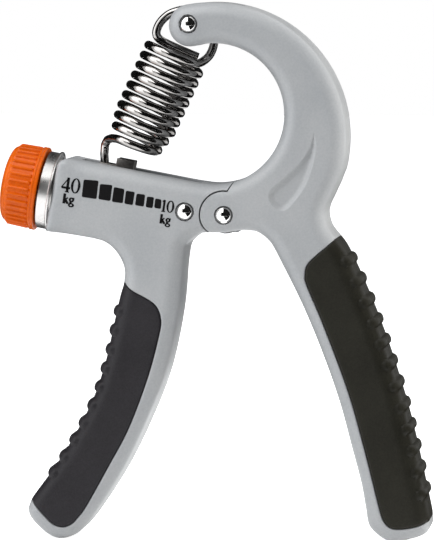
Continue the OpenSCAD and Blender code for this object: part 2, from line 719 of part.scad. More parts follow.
// ---------------------------------------------------------------- the pieces
left_shell_front();
left_shell_rear();
left_grip();
left_shell_screws();
housing_rivet();
collar();
thrust_bush();
end_bearing();
pivot_bush();
pivot_washers();
right_shell_front();
right_shell_rear();
right_grip();
right_shell_screws();
pivot_rivet();
arm_rivet();
knob();
lead_screw();
thrust_washer();
retaining_clip();
carriage_nut();
hook_pin();
spring_roller();
spring_upper();
spring_lower();
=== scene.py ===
"""Visible shapes and finishes of the adjustable hand grip strengthener, in the shared frame.

Shapes are drawn in millimetres: (right, up) from the hinge pivot and w outwards from the middle
plane. place() turns them into metres in the shared frame.
"""

import math

import bpy
import numpy as np
from mathutils import Matrix, Vector
from mathutils.geometry import delaunay_2d_cdt
from numpy.linalg import norm


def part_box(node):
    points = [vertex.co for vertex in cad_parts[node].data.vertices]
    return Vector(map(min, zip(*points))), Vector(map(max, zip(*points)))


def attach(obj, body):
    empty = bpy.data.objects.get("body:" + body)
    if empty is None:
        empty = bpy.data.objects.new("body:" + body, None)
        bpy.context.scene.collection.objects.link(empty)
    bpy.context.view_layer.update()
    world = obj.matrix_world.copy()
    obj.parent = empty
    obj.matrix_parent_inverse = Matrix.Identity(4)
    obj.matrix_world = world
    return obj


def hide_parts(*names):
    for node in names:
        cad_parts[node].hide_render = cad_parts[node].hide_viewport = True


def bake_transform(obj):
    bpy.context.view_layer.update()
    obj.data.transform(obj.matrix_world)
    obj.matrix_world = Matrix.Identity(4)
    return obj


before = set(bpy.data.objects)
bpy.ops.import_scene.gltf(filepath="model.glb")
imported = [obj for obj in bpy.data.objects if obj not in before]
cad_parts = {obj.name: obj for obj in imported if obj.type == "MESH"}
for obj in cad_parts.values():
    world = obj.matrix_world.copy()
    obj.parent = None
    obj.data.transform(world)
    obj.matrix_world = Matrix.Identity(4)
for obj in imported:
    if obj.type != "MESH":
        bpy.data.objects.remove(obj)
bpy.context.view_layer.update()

MM = 0.001
pivot_low, pivot_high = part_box("pivot_rivet")
PIVOT = Vector(((pivot_low.x + pivot_high.x) / 2, 0, (pivot_low.z + pivot_high.z) / 2))


def added(name, data):
    """A new object in the scene."""
    thing = bpy.data.objects.new(name, data)
    bpy.context.scene.collection.objects.link(thing)
    return thing


# ---- camera
AZIMUTH = math.radians(7.5)
ELEVATION = math.radians(4.5)
DISTANCE = 1.1
VIEW_HEIGHT = 0.1512
AIM_RIGHT = -0.00316   # the middle of the view, from the pivot
AIM_UP = -0.0160
SENSOR = 36
CLIP_START = 0.05
CLIP_END = 20

toward = Vector((
    math.sin(AZIMUTH) * math.cos(ELEVATION),
    -math.cos(AZIMUTH) * math.cos(ELEVATION),
    math.sin(ELEVATION),
))
camera_right = Vector((math.cos(AZIMUTH), math.sin(AZIMUTH), 0))
camera_up = toward.cross(camera_right)
camera_data = bpy.data.cameras.new("studio_camera")
camera = added("studio_camera", camera_data)
camera_data.sensor_width = SENSOR
camera_data.lens = SENSOR * DISTANCE / VIEW_HEIGHT
camera_data.clip_start = CLIP_START
camera_data.clip_end = CLIP_END
aim = PIVOT + AIM_RIGHT * camera_right + AIM_UP * camera_up
camera.location = aim + DISTANCE * toward
camera.rotation_mode = "QUATERNION"
camera.rotation_quaternion = (-toward).to_track_quat("-Z", "Y")
bpy.context.scene.camera = camera
bpy.context.scene.view_settings.view_transform = "Standard"


# ---- flat geometry
TINY = 1e-12
CHUNK = 2000       # points measured at once
DOUBLE = 0.02      # points closer than this are one
STEP = 0.7         # distance between the points round a shell


def smooth(points, steps=8):
    """A smooth curve through the points, with both ends."""
    p = np.array(points, float)
    out = []
    for i in range(len(p) - 1):
        a, b, c, d = p[max(i - 1, 0)], p[i], p[i + 1], p[min(i + 2, len(p) - 1)]
        for j in range(steps):
            t = j / steps
            out.append(0.5 * (2 * b + (c - a) * t + (2 * a - 5 * b + 4 * c - d) * t * t
                              + (3 * b - a - 3 * c + d) * t ** 3))
    out.append(p[-1])
    return np.array(out)


def chained(first, *others):
    """Smooth curves end to end, each from where the one before ends."""
    parts = [smooth(first)]
    for points in others:
        parts.append(smooth([parts[-1][-1], *points])[1:])
    return np.vstack(parts)


def arc(centre, radius, start, end, steps=48):
    """Points of an arc, in degrees, with one radius or two."""
    a = np.radians(np.linspace(start, end, steps + 1))
    return np.array(centre) + np.array(radius) * np.stack([np.cos(a), np.sin(a)], 1)


def angle(v):
    return math.degrees(math.atan2(v[1], v[0]))


def unit(rows):
    """Vectors made 1 long."""
    return rows / norm(rows, axis=1)[:, None]


def evenly(line, points):
    """The line again, with points at even distances, given how many for its length."""
    s = np.concatenate([[0], np.cumsum(norm(np.diff(line, axis=0), axis=1))])
    at = np.linspace(0, s[-1], points(s[-1]))
    return np.stack([np.interp(at, s, column) for column in line.T], 1)


def spread(line, step=STEP):
    """The line again, with points at even distances near step."""
    return evenly(np.array(line, float), lambda length: max(1, int(round(length / step))) + 1)


def crossing(line, other):
    """Where a line first crosses another: both segments' numbers and the point."""
    for i in range(len(line) - 1):
        a, b = line[i], line[i + 1]
        c, d = other[:-1], other[1:]
        r, s = b - a, d - c
        den = r[0] * s[:, 1] - r[1] * s[:, 0]
        den = np.where(abs(den) < TINY, TINY, den)
        q = c - a
        t = (q[:, 0] * s[:, 1] - q[:, 1] * s[:, 0]) / den
        u = (q[:, 0] * r[1] - q[:, 1] * r[0]) / den
        hit = np.nonzero((t >= 0) & (t <= 1) & (u >= 0) & (u <= 1))[0]
        if len(hit):
            return i, int(hit[0]), a + t[hit[0]] * r
    raise ValueError("the lines don't cross")


def distance(points, line, closed=False):
    """Distance of each point from a line, with the nearest place along it."""
    line = np.array(line, float)
    if closed:
        line = np.vstack([line, line[:1]])
    a, b = line[:-1], line[1:]
    ab = b - a
    length = norm(ab, axis=1)
    start = np.concatenate([[0], np.cumsum(length)])[:-1]
    best = np.zeros(len(points))
    along = np.zeros(len(points))
    for k in range(0, len(points), CHUNK):
        p = points[k:k + CHUNK, None, :] - a[None]
        t = np.clip((p * ab).sum(2) / np.maximum(length ** 2, TINY), 0, 1)
        d = norm(p - t[..., None] * ab, axis=2)
        i = d.argmin(1)
        row = np.arange(len(i))
        best[k:k + CHUNK] = d[row, i]
        along[k:k + CHUNK] = start[i] + t[row, i] * length[i]
    return best, along


def inside(points, loop):
    """Whether each point lies in a closed loop."""
    a, b = loop, np.roll(loop, -1, axis=0)
    x, y = points[:, 0][:, None], points[:, 1][:, None]
    straddle = (a[:, 1] > y) != (b[:, 1] > y)
    rise = np.where(abs(b[:, 1] - a[:, 1]) < TINY, TINY, b[:, 1] - a[:, 1])
    left = x < (b[:, 0] - a[:, 0]) * (y - a[:, 1]) / rise + a[:, 0]
    return (straddle & left).sum(1) % 2 == 1


def joined(*lines):
    """Lines end to end as one closed loop that runs anticlockwise, without double points."""
    loop = np.vstack(lines)
    keep = norm(loop - np.roll(loop, 1, axis=0), axis=1) > DOUBLE
    loop = loop[keep]
    x, y = loop[:, 0], loop[:, 1]
    area = (x * np.roll(y, -1) - y * np.roll(x, -1)).sum()
    return loop if area > 0 else loop[::-1].copy()


def inward(loop):
    """At each point of an anticlockwise loop, the step that moves both edges in by 1."""
    edge = unit(np.roll(loop, -1, axis=0) - loop)
    normal = np.stack([-edge[:, 1], edge[:, 0]], 1)
    before = np.roll(normal, 1, axis=0)
    total = normal + before
    return total / np.maximum(1 + (normal * before).sum(1), 0.5)[:, None]


# ---- outlines of the two handles
BODY_T = 22.0
HALF = BODY_T / 2
EDGE_R = 4.2
PAD_T = 1.6
PAD_EDGE_T = 2.4
KNUCKLE_R = 6.5
KNUCKLE_GAP = 0.38
ARM_RIVET_AT = np.array([-9.9, 52.9])
TIP_AT = np.array([-9.9, 52.5])
OPENING_C = np.array([-3.16, 27.91])
BACK_C = np.array([-3.95, 21.2])
TIP_R = 5.85
OPENING_R = norm(TIP_AT - OPENING_C) - TIP_R
BACK_R = norm(TIP_AT - BACK_C) + TIP_R
TIP_START = angle(OPENING_C - TIP_AT)
TIP_END = angle(TIP_AT - BACK_C) - 360
HOUSING_AT = np.array([-48.4, 5.5])
HOUSING_H = 21.0
HOUSING_LEN = 38.0
TILT = math.radians(10.5)
ALONG = np.array([math.cos(TILT), -math.sin(TILT)])
ACROSS = np.array([math.sin(TILT), math.cos(TILT)])
HOUSING_RIVET_AT = np.array([-10.9, 0.9])
STOP_LOW = np.array([0.9, 6.6])
STOP_GAP = 0.2
STOP_ANGLE = -74   # where the opening's arc ends over the stop
TOP_ANGLE = -98    # and where it starts on the housing's top
NECK_ANGLE = -14   # where the arm's back runs into the neck
UNDER_Z = -5.05


def in_housing(u, v):
    return HOUSING_AT + u * ALONG + v * ACROSS


STOP_HIGH = arc(OPENING_C, OPENING_R, STOP_ANGLE, STOP_ANGLE, 0)[0]

left_crotch = [
    [-4.3, -5.05], [-6.5, -5.2], [-8.1, -6.05], [-9.9, -7.4], [-11.3, -9.45], [-12.1, -15]]
left_inner = [
    [-12.9, -25.1], [-14.6, -35.2], [-17.1, -45.3], [-21.1, -55.8], [-27.4, -69.3], [-33.5, -79.5],
    [-38.2, -86.3]]
left_end = [
    [-41.3, -89.8], [-44.6, -91.4], [-47.5, -91.6], [-50, -90.6], [-52.7, -88.5], [-55, -85.9],
    [-55.8, -83.6], [-55.2, -81.3]]
left_outer = [
    [-54.1, -79.4], [-47.9, -70.9], [-42.2, -61.7], [-37.1, -51.5], [-33.6, -41], [-31.3, -30.8],
    [-29.6, -23.3], [-28.6, -20]]
left_shoulder = [[-28.2, -16.2], [-29.1, -13], [-31.2, -9.9], [-33.9, -7.9], [-37.4, -6.9]]
right_neck = [[31.1, 8.4], [29.6, 5.2], [28.3, 2.4], [27.9, 0], [28.8, -3.4], [31.3, -6.6]]
right_outer = [
    [33.8, -10.4], [38.9, -21.5], [43.5, -33.1], [47.4, -44.5], [51, -56.5], [53.9, -68.6],
    [56.4, -80], [57.2, -84]]
right_end = [
    [57.2, -87.2], [55.2, -89], [51.8, -90.1], [48.6, -90.9], [44.8, -90.2], [40.7, -86.7],
    [39.6, -81.8]]
right_inner = [
    [38.2, -74.3], [35.7, -64.9], [32, -51.4], [27.2, -37.9], [21.5, -24.4], [14.7, -10.9]]
right_crotch = [[12.6, -7.4], [9.4, -4.9], [6.2, -4.35], [3.2, -4.5], [0, -5.05]]
left_pad_edge = [
    [-27.9, -19.2], [-26.1, -21], [-21.1, -23.7], [-18.8, -25.6], [-17.6, -28.6], [-17.8, -32.6],
    [-21.1, -45.2], [-26.6, -59.8], [-32.2, -70.4], [-38.7, -82], [-41.3, -85.5], [-42.8, -87.1],
    [-45.3, -88.1], [-48.3, -87.3], [-51.3, -84.4], [-54.6, -80.9]]
right_pad_edge = [
    [31.9, -5.6], [28.9, -8.3], [24.9, -11.8], [23.2, -13.8], [22.7, -16.4], [23.2, -19.3],
    [27.8, -30.1], [34.7, -48.4], [39.3, -64.4], [43.2, -79.8], [44.3, -83.7], [45.6, -85.9],
    [47.4, -86.9], [50.3, -86.9], [54.3, -86.1], [58.4, -84.3]]
recess_line = [
    [25.3, 24], [24.1, 19.2], [21.6, 15.2], [17.6, 11.1], [13.5, 7.6], [12.5, 5.1], [14, 2.3],
    [17, 1.4], [20.1, 4.2], [23.1, 8.7], [25.1, 14.7], [25.8, 19.8], [25.3, 24]]

GRIP_STEP = 0.36   # between the points round a grip, for its ridges
JOINT_STEP = 0.4   # and along the round joint of the knuckle
LOW_R = 1.2        # rounding of the housing's lower corner beside the collar
HIGH_R = 3.0       # and of its upper corner

left_side = chained(left_crotch, left_inner, left_end, left_outer, left_shoulder)
housing_low = in_housing(0, -HOUSING_H / 2)
housing_high = in_housing(0, HOUSING_H / 2)
low_corner = arc(housing_low + LOW_R * (ALONG + ACROSS), LOW_R,
                 angle(-ACROSS), angle(-ALONG) - 360, 8)
high_corner = arc(housing_high + HIGH_R * (ALONG - ACROSS), HIGH_R,
                  angle(-ALONG), angle(ACROSS), 8)
housing_top = np.vstack([
    in_housing(HIGH_R, HOUSING_H / 2), in_housing(HOUSING_LEN, HOUSING_H / 2),
    arc(OPENING_C, OPENING_R, TOP_ANGLE, STOP_ANGLE, 12)])
right_side = np.vstack([
    arc(OPENING_C, OPENING_R, STOP_ANGLE, TIP_START + 180, 120)[1:-1],
    arc(TIP_AT, TIP_R, TIP_START, TIP_END, 60)[:-1],
    arc(BACK_C, BACK_R, TIP_END + 360, NECK_ANGLE, 150)[:-1],
    chained(right_neck, right_outer, right_end, right_inner, right_crotch)])
left_pad_line = np.vstack([[-35.9, -19.2], smooth(left_pad_edge), [-62.6, -80.9]])
right_pad_line = np.vstack([smooth(right_pad_edge), [66, -84.3]])

# The skin that the rounding of both faces follows, across the joint between the handles
whole_skin = joined(left_side, housing_low + LOW_R * ALONG, low_corner, high_corner,
                    housing_top, right_side)


def split(side, pad_line):
    """A side's outline before, along and after the grip, and the edge between grip and shell."""
    hits = []
    rest, base = side, 0
    for _ in range(2):
        i, j, point = crossing(rest, pad_line)
        hits.append((base + i, j, point))
        base += i + 1
        rest = side[base:]
    (i1, j1, p1), (i2, j2, p2) = hits
    before = np.vstack([side[:i1 + 1], p1])
    under = np.vstack([p1, side[i1 + 1:i2 + 1], p2])
    after = np.vstack([p2, side[i2 + 1:]])
    low, high = sorted([(j1, 0), (j2, 1)])
    seam = pad_line[low[0] + 1:high[0] + 1]
    seam = seam if low[1] == 0 else seam[::-1]
    return before, under, after, np.vstack([p1, seam, p2])


left_before, left_under, left_after, left_seam = split(left_side, left_pad_line)
right_before, right_under, right_after, right_seam = split(right_side, right_pad_line)

TONGUE_R = 6.1
TONGUE_T = 10.8
TONGUE_TOP = 80    # degrees round the pivot
WEB_TOP = 84
WEB_LAP = 0.4      # how far the tongue reaches into the shell
joint_r = KNUCKLE_R + KNUCKLE_GAP
joint_foot = np.array([-math.sqrt(joint_r ** 2 - UNDER_Z ** 2), UNDER_Z])
joint_top = np.array([STOP_LOW[0], math.sqrt(joint_r ** 2 - STOP_LOW[0] ** 2)])
cheek_foot = np.array([-math.sqrt(KNUCKLE_R ** 2 - UNDER_Z ** 2), UNDER_Z])
cheek_x = STOP_LOW[0] + STOP_GAP
cheek_top = np.array([cheek_x, math.sqrt(KNUCKLE_R ** 2 - cheek_x ** 2)])

# The tongue closes the joint line from inside and is flat underneath, like the body round it
tongue_low = math.degrees(math.asin(UNDER_Z / TONGUE_R))
web_low = 180 - math.degrees(math.asin(UNDER_Z / (joint_r + WEB_LAP)))
tongue_loop = joined(arc((0, 0), TONGUE_R, tongue_low, TONGUE_TOP),
                     arc((0, 0), joint_r + WEB_LAP, WEB_TOP, web_low))
left_shell_loop = joined(
    spread(np.vstack([joint_foot, left_before[1:]])), spread(left_seam), spread(left_after),
    spread([left_after[-1], housing_low + LOW_R * ALONG]), low_corner,
    spread([low_corner[-1], high_corner[0]]), high_corner, spread(housing_top),
    spread([STOP_HIGH, joint_top]),
    spread(arc((0, 0), joint_r, angle(joint_top), 360 + angle(joint_foot)), JOINT_STEP))
right_shell_loop = joined(
    spread([cheek_top, STOP_HIGH + [STOP_GAP, 0]]), spread(right_before), spread(right_seam),
    spread(right_after), spread([right_after[-1], cheek_foot]),
    spread(arc((0, 0), KNUCKLE_R, 360 + angle(cheek_foot), angle(cheek_top)), JOINT_STEP))
left_grip_loop = joined(spread(left_under, GRIP_STEP), spread(left_seam[::-1]))
right_grip_loop = joined(spread(right_under, GRIP_STEP), spread(right_seam[::-1]))


# ---- meshes
def place(points, side=1):
    """Millimetres (right, up, outwards) to metres; side -1 is the rear."""
    p = np.asarray(points, float)
    return np.stack([PIVOT.x + p[:, 0] * MM, -side * p[:, 2] * MM, PIVOT.z + p[:, 1] * MM], 1)


def mesh_piece(name, verts, faces):
    """An object from placed points and faces."""
    mesh = bpy.data.meshes.new(name)
    mesh.from_pydata([tuple(v) for v in verts], [], [tuple(f) for f in faces])
    mesh.validate()
    mesh.update()
    return added(name, mesh)


def alone(piece):
    """Selects one piece and makes it active."""
    bpy.ops.object.select_all(action="DESELECT")
    piece.select_set(True)
    bpy.context.view_layer.objects.active = piece


def edited(piece, *steps):
    """A piece after steps in edit mode, each on all of it, with its faces turned outwards."""
    alone(piece)
    bpy.ops.object.mode_set(mode="EDIT")
    for step in steps:
        bpy.ops.mesh.select_all(action="SELECT")
        step()
    bpy.ops.mesh.select_all(action="SELECT")
    bpy.ops.mesh.normals_make_consistent(inside=False)
    bpy.ops.object.mode_set(mode="OBJECT")
    return piece


def merged(gap=1e-6):
    """A step for edited() that makes points closer than the gap one."""
    return lambda: bpy.ops.mesh.remove_doubles(threshold=gap)


def as_one(parts):
    """The first of some parts, with the others joined to it."""
    alone(parts[0])
    for part in parts[1:]:
        part.select_set(True)
    bpy.ops.object.join()
    return parts[0]


def shade(piece, degrees):
    """Smooth shading up to an angle."""
    alone(piece)
    bpy.ops.object.shade_smooth_by_angle(angle=math.radians(degrees))


def modified(piece, kind, **settings):
    """Applies one modifier to a piece."""
    alone(piece)
    modifier = piece.modifiers.new("change", kind)
    for key, value in settings.items():
        setattr(modifier, key, value)
    bpy.ops.object.modifier_apply(modifier=modifier.name)


def cut(piece, tool, how="DIFFERENCE"):
    """Applies one tool solid to a piece and removes the tool."""
    modified(piece, "BOOLEAN", operation=how, solver="MANIFOLD", object=tool)
    bpy.data.objects.remove(tool)
    return piece


def wall_faces(upper, lower):
    """Four-sided faces between two rings of point numbers."""
    return np.stack([upper, lower, np.roll(lower, -1), np.roll(upper, -1)], 1).tolist()


PARTING = 0.14     # chamfer of each half at the parting line
CROWD = 0.16       # closest distance between points on a face
RIM_GAP = 0.3      # and of the added ones from the rim


def triangles(points, rim):
    """Faces between points whose first rim ones are the closed edge."""
    edges = [(i, (i + 1) % rim) for i in range(rim)]
    made = delaunay_2d_cdt([Vector(p) for p in points], edges, [], 1, 1e-7)
    if len(made[0]) != len(points):
        raise ValueError(f"the outline crosses itself: {len(made[0]) - len(points)} points")
    back = [o[0] for o in made[3]]
    return [[back[i] for i in f] for f in made[2]]


def thinned(points, gap):
    """The points without those that crowd closer than gap to an earlier one."""
    seen, keep = {}, []
    for i, p in enumerate(points):
        cell = (int(p[0] // gap), int(p[1] // gap))
        near = (seen.get((cell[0] + a, cell[1] + b)) for a in (-1, 0, 1) for b in (-1, 0, 1))
        if all(q is None or math.dist(q, p) > gap for q in near):
            seen[cell] = p
            keep.append(i)
    return points[keep]


def well_inside(points, loop, gap):
    """The points inside a loop and farther than the gap from it."""
    return points[inside(points, loop) & (distance(points, loop, closed=True)[0] > gap)]


def relief(loop, rings, height, rows, extra=None, push=None):
    """One half of a moulding, drawn upwards: face in relief, wall and parting face."""
    rim = len(loop)
    step = inward(loop)
    inner = [well_inside(loop + d * step, loop, 0.95 * d) for d in rings]
    if extra is not None:
        inner.append(well_inside(extra, loop, RIM_GAP))
    inner = thinned(np.vstack(inner), CROWD)
    flat = np.vstack([loop, inner])
    faces = triangles(flat, rim)
    top = height(flat)
    closing = loop + PARTING * step
    levels = [np.column_stack([loop, top[:rim] * share]) for share in rows]
    levels.append(np.column_stack([closing, np.zeros(rim)]))
    last = np.arange(rim)
    for k in range(len(levels)):
        here = len(flat) + k * rim + np.arange(rim)
        faces += wall_faces(last, here)
        last = here
    faces += [last[f[::-1]].tolist() for f in triangles(closing, rim)]
    verts = np.vstack([np.column_stack([flat, top])] + levels)
    return (push(verts) if push else verts), faces


def rounding(d, radius):
    """How far a face drops at a distance from an edge that is rounded with the radius."""
    t = np.clip(radius - d, 0, radius)
    return radius - np.sqrt(radius ** 2 - t ** 2)


def edge_radius(p):
    """The rounding round the faces: tight at the housing's end, full from END_REACH on."""
    share = np.clip((p - HOUSING_AT) @ ALONG / END_REACH, 0, 1)
    return END_R + (EDGE_R - END_R) * share * share * (3 - 2 * share)


def prism(name, loop, low, high, side):
    """A straight solid over a flat loop."""
    n = len(loop)
    base = triangles(loop, n)
    verts = np.vstack([np.column_stack([loop, np.full(n, z)]) for z in (high, low)])
    faces = base + [[i + n for i in reversed(f)] for f in base]
    faces += wall_faces(np.arange(n), n + np.arange(n))
    return edited(mesh_piece(name, place(verts, side), faces), merged())


def disc(name, centre, radius, low, high, side, count=96):
    """A straight round solid across the object."""
    return prism(name, arc(centre, radius, 0, 360, count)[:-1], low, high, side)


# ---- the two handles
RINGS = (0.12, 0.3, 0.55, 0.85, 1.2, 1.6, 2.1, 2.7, 3.3, 3.9, 4.3, 4.8)
ROWS = (0.66, 0.33, 0.02)
END_R = 1.6        # rounding of the housing's end beside the collar
END_REACH = 6.0    # how far along the housing it grows to the full rounding
SEAM_R = 0.45      # rounding of the edges along a grip
JOINT_R = 0.15     # rounding of the edges along the knuckle joint
SEAT_R = 2.55      # round seats of the rivet heads
SEAT_DEPTH = 1.5
SEAT_WALL = 0.14   # how far a seat's wall slopes
SEAT_RINGS = (-0.16, -0.01, 0.14, 0.45)
HEAD_R = 2.27
RECESS_DEPTH = 1.0
RECESS_SLOPE = 1.7
RECESS_CURVE = 1.3
RECESS_RINGS = (-0.5, -0.2, 0.0, 0.2, 0.45, 0.75, 1.1, 1.5, 1.8, 2.2)
RECESS_CROWD = 0.22

knuckle_line = np.vstack([
    arc((0, 0), KNUCKLE_R + KNUCKLE_GAP / 2, 360 + angle(joint_foot), angle(joint_top)),
    STOP_LOW, STOP_HIGH])
recess_loop = joined(smooth(recess_line)[:-1])


def face_height(seam_line, rivets):
    """The height of a handle's face over the middle plane, at points."""
    def height(p):
        skin, _ = distance(p, whole_skin, closed=True)
        z = HALF - rounding(skin, edge_radius(p))
        z -= rounding(distance(p, seam_line)[0], SEAM_R)
        joint = distance(p, knuckle_line)[0] - KNUCKLE_GAP / 2
        z -= rounding(np.maximum(joint, 0), JOINT_R)
        for at in rivets:
            r = norm(p - at, axis=1)
            z -= SEAT_DEPTH * np.clip((SEAT_R - r) / SEAT_WALL, 0, 1)
        hollow = inside(p, recess_loop) * distance(p, recess_loop, closed=True)[0]
        slope = np.sin(np.clip(hollow / RECESS_SLOPE, 0, 1) * math.pi / 2)
        return z - RECESS_DEPTH * slope ** RECESS_CURVE
    return height


def seat_rings(rivets):
    """Points round the edges of the rivets' seats."""
    return [arc(at, SEAT_R + r, 0, 360, 64)[:-1] for at in rivets for r in SEAT_RINGS]


def recess_rings():
    """Points along the recess's edge and down its slope."""
    step = inward(recess_loop)
    out = []
    for d in RECESS_RINGS:
        ring = recess_loop + d * step
        keep = distance(ring, recess_loop, closed=True)[0] > 0.9 * abs(d) - 0.01
        out.append(thinned(ring[keep], RECESS_CROWD))
    return out


left_rivets = [HOUSING_RIVET_AT]
right_rivets = [(0, 0), ARM_RIVET_AT]
left_half = relief(left_shell_loop, RINGS, face_height(left_seam, left_rivets), ROWS,
                   np.vstack(seat_rings(left_rivets)))
right_half = relief(right_shell_loop, RINGS, face_height(right_seam, right_rivets), ROWS,
                    np.vstack(seat_rings(right_rivets) + recess_rings()))

SCREW_R = 1.3
SCREW_END = 7.4    # how high the screws reach in the front half
SCREW_HEAD_R = 2.45
SCREW_SEAT = 7.6
CORE_LAP = 0.8     # how far a grip's core runs in under the shell
CORE_REACH = 6     # steps that its outer edge reaches past both ends
SPIGOT = 3.9       # how far the spigot stands out in the collar
SPIGOT_R = 9
SPIGOT_ROOT = 1
CHANNEL = (3.5, 34.4, -5.1, 5.1, 10.2)    # the carriage's: from, to, low, high and width
SLOT = (5.6, 40, 4.6, 12, 6.6)            # and over it the hook's
THRUST_BORE = (6.05, -4.1, 3.6)           # on the screw's axis: radius, from and to
END_BORE = (3.25, 34, 36)
RIVET_BORE = 1.55
PIVOT_BORE = 1.75
BUSH_BORE = 2.85
KNUCKLE_ROOM = (7.5, -1, 6)               # across the object: radius, from and to
CLEVIS_ROOM = (15.5, -1, 1.8)
left_screws_at = [(-20.5, -12.6), (-32.5, -60.5)]
right_screws_at = [(22.5, -5), (43.3, -58.5), (24.5, 33)]


def sideways(line, step):
    """A line moved to its right by a step."""
    heading = unit(np.gradient(line, axis=0))
    return line + step * np.stack([heading[:, 1], -heading[:, 0]], 1)


def core_loop(under, seam):
    """The part of the handle under a grip's rubber, with a lap under the shell's edge."""
    skin = sideways(spread(under, 2 * STEP), PAD_EDGE_T)
    skin = np.vstack([(1 + CORE_REACH) * skin[0] - CORE_REACH * skin[1], skin,
                      (1 + CORE_REACH) * skin[-1] - CORE_REACH * skin[-2]])
    edge = sideways(spread(seam, 2 * STEP), CORE_LAP)
    middle = len(skin) // 2
    back, low, first = crossing(skin[middle::-1], edge)
    on, high, last = crossing(skin[middle:], edge)
    return joined([first], skin[middle - back:middle + on + 1], [last],
                  edge[low + 1:high + 1][::-1])


def axis_box(u0, u1, v0, v1, w, name="box"):
    """A box in the housing, along its sloping axis, w wide."""
    corners = [in_housing(u, v) for u, v in ((u0, v0), (u1, v0), (u1, v1), (u0, v1))]
    return prism(name, joined(np.array(corners)), -w / 2, w / 2, 1)


def turn_at(at, radians, axis):
    """Turns a shape drawn round the origin and moves it to a place on the middle plane."""
    return Matrix.Translation(place([(*at, 0)])[0]) @ Matrix.Rotation(radians, 4, axis)


def screw_frame(u):
    """Turns a shape drawn along Z into one on the lead screw's axis, u from the collar."""
    return turn_at(in_housing(u, 0), math.pi / 2 + TILT, "Y")


def turned(name, profile, matrix, steps=96):
    """A turned solid: the profile (radius, along) is spun round Z and put in place."""
    mesh = bpy.data.meshes.new(name)
    points = [(r * MM, 0, z * MM) for r, z in profile]
    mesh.from_pydata(points, [(i, i + 1) for i in range(len(points) - 1)], [])
    piece = edited(
        added(name, mesh),
        lambda: bpy.ops.mesh.spin(steps=steps, angle=2 * math.pi, center=(0, 0, 0),
                                  axis=(0, 0, 1)),
        merged(2e-6))
    piece.data.transform(matrix)
    piece.data.update()
    return piece


def rod(name, radius, start, end):
    """A plain round solid on the lead screw's axis."""
    return turned(name, [(0, start), (radius, start), (radius, end), (0, end)], screw_frame(0))


def half_piece(name, half, side):
    """One of the two mirrored halves of a moulding."""
    verts, faces = half
    faces = faces if side == 1 else [f[::-1] for f in faces]
    return mesh_piece(name, place(verts, side), faces)


def cored(name, half, under, seam, side):
    """One half of a shell, with the core under its grip."""
    core = prism("core", core_loop(under, seam), 0, HALF - PAD_T, side)
    return cut(half_piece(name, half, side), core, "UNION")


def keep_side(piece, side):
    """Cuts a solid off at the middle plane and closes it."""
    return edited(piece, lambda: bpy.ops.mesh.bisect(
        plane_co=(0, 0, 0), plane_no=(0, side, 0), use_fill=True, clear_outer=True))


def drill(piece, at, radius, side, low=-1, high=12, count=96):
    """Cuts a round hole across one half, right through unless told otherwise."""
    cut(piece, disc("hole", at, radius, low, high, side, count))


def drill_screws(piece, places, side):
    """The holes of a shell's screws, whose heads are sunk in the rear half."""
    for at in places:
        drill(piece, at, SCREW_R, side, high=SCREW_END if side == 1 else 12, count=32)
        if side == -1:
            drill(piece, at, SCREW_HEAD_R, side, low=SCREW_SEAT, count=48)


def finish(piece, body, *nodes, smooth_to=35):
    """Shades a piece and hands it to its body in place of CAD nodes."""
    shade(piece, smooth_to)
    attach(piece, body)
    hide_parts(*nodes)
    return piece


def left_shell(side, end):
    """One half of the left handle: housing, knuckle tongue, spigot and leg."""
    piece = cored("moulded_left_shell_" + end, left_half, left_under, left_seam, side)
    cut(piece, prism("tongue", tongue_loop, 0, TONGUE_T / 2, side), "UNION")
    cut(piece, keep_side(rod("spigot", SPIGOT_R, -SPIGOT, SPIGOT_ROOT), side), "UNION")
    cut(piece, axis_box(*CHANNEL))
    cut(piece, axis_box(*SLOT))
    cut(piece, rod("bore", *THRUST_BORE))
    cut(piece, rod("bore", *END_BORE))
    drill(piece, HOUSING_RIVET_AT, RIVET_BORE, side)
    drill(piece, (0, 0), BUSH_BORE, side)
    drill_screws(piece, left_screws_at, side)
    return finish(piece, "left_handle", "left_shell_" + end)


def right_shell(side, end):
    """One half of the right handle: arm with its clevis, knuckle cheek and leg."""
    piece = cored("moulded_right_shell_" + end, right_half, right_under, right_seam, side)
    cut(piece, disc("room", (0, 0), *KNUCKLE_ROOM, side))
    cut(piece, disc("clevis", ARM_RIVET_AT, *CLEVIS_ROOM, side))
    drill(piece, ARM_RIVET_AT, RIVET_BORE, side)
    drill(piece, (0, 0), PIVOT_BORE, side)
    drill_screws(piece, right_screws_at, side)
    return finish(piece, "right_handle", "right_shell_" + end)


shells = [shell(side, end) for side, end in ((1, "front"), (-1, "rear"))
          for shell in (left_shell, right_shell)]


# ---- grips
GRIP_GAP = 0.12
RIDGE_W = 1.55
RIDGE_H = 0.95
RIDGE_REACH = 9.6
GRIP_RINGS = (0.1, 0.25, 0.45, 0.7, 1.0, 1.35, 1.7, 2.1, 2.5, 2.9, 3.3, 3.7, 4.1, 4.5, 5.0)
GRIP_ROWS = tuple(1 - i / 14 for i in range(1, 14)) + (0.02,)
CORE_GAP = 0.02    # between a grip's rubber and the core


def grip_height(seam_line):
    """The height of a grip's face over the middle plane, at points."""
    def height(p):
        skin, _ = distance(p, whole_skin, closed=True)
        z = HALF - rounding(skin, EDGE_R)
        return z - rounding(np.maximum(distance(p, seam_line)[0] - GRIP_GAP, 0), SEAM_R)
    return height


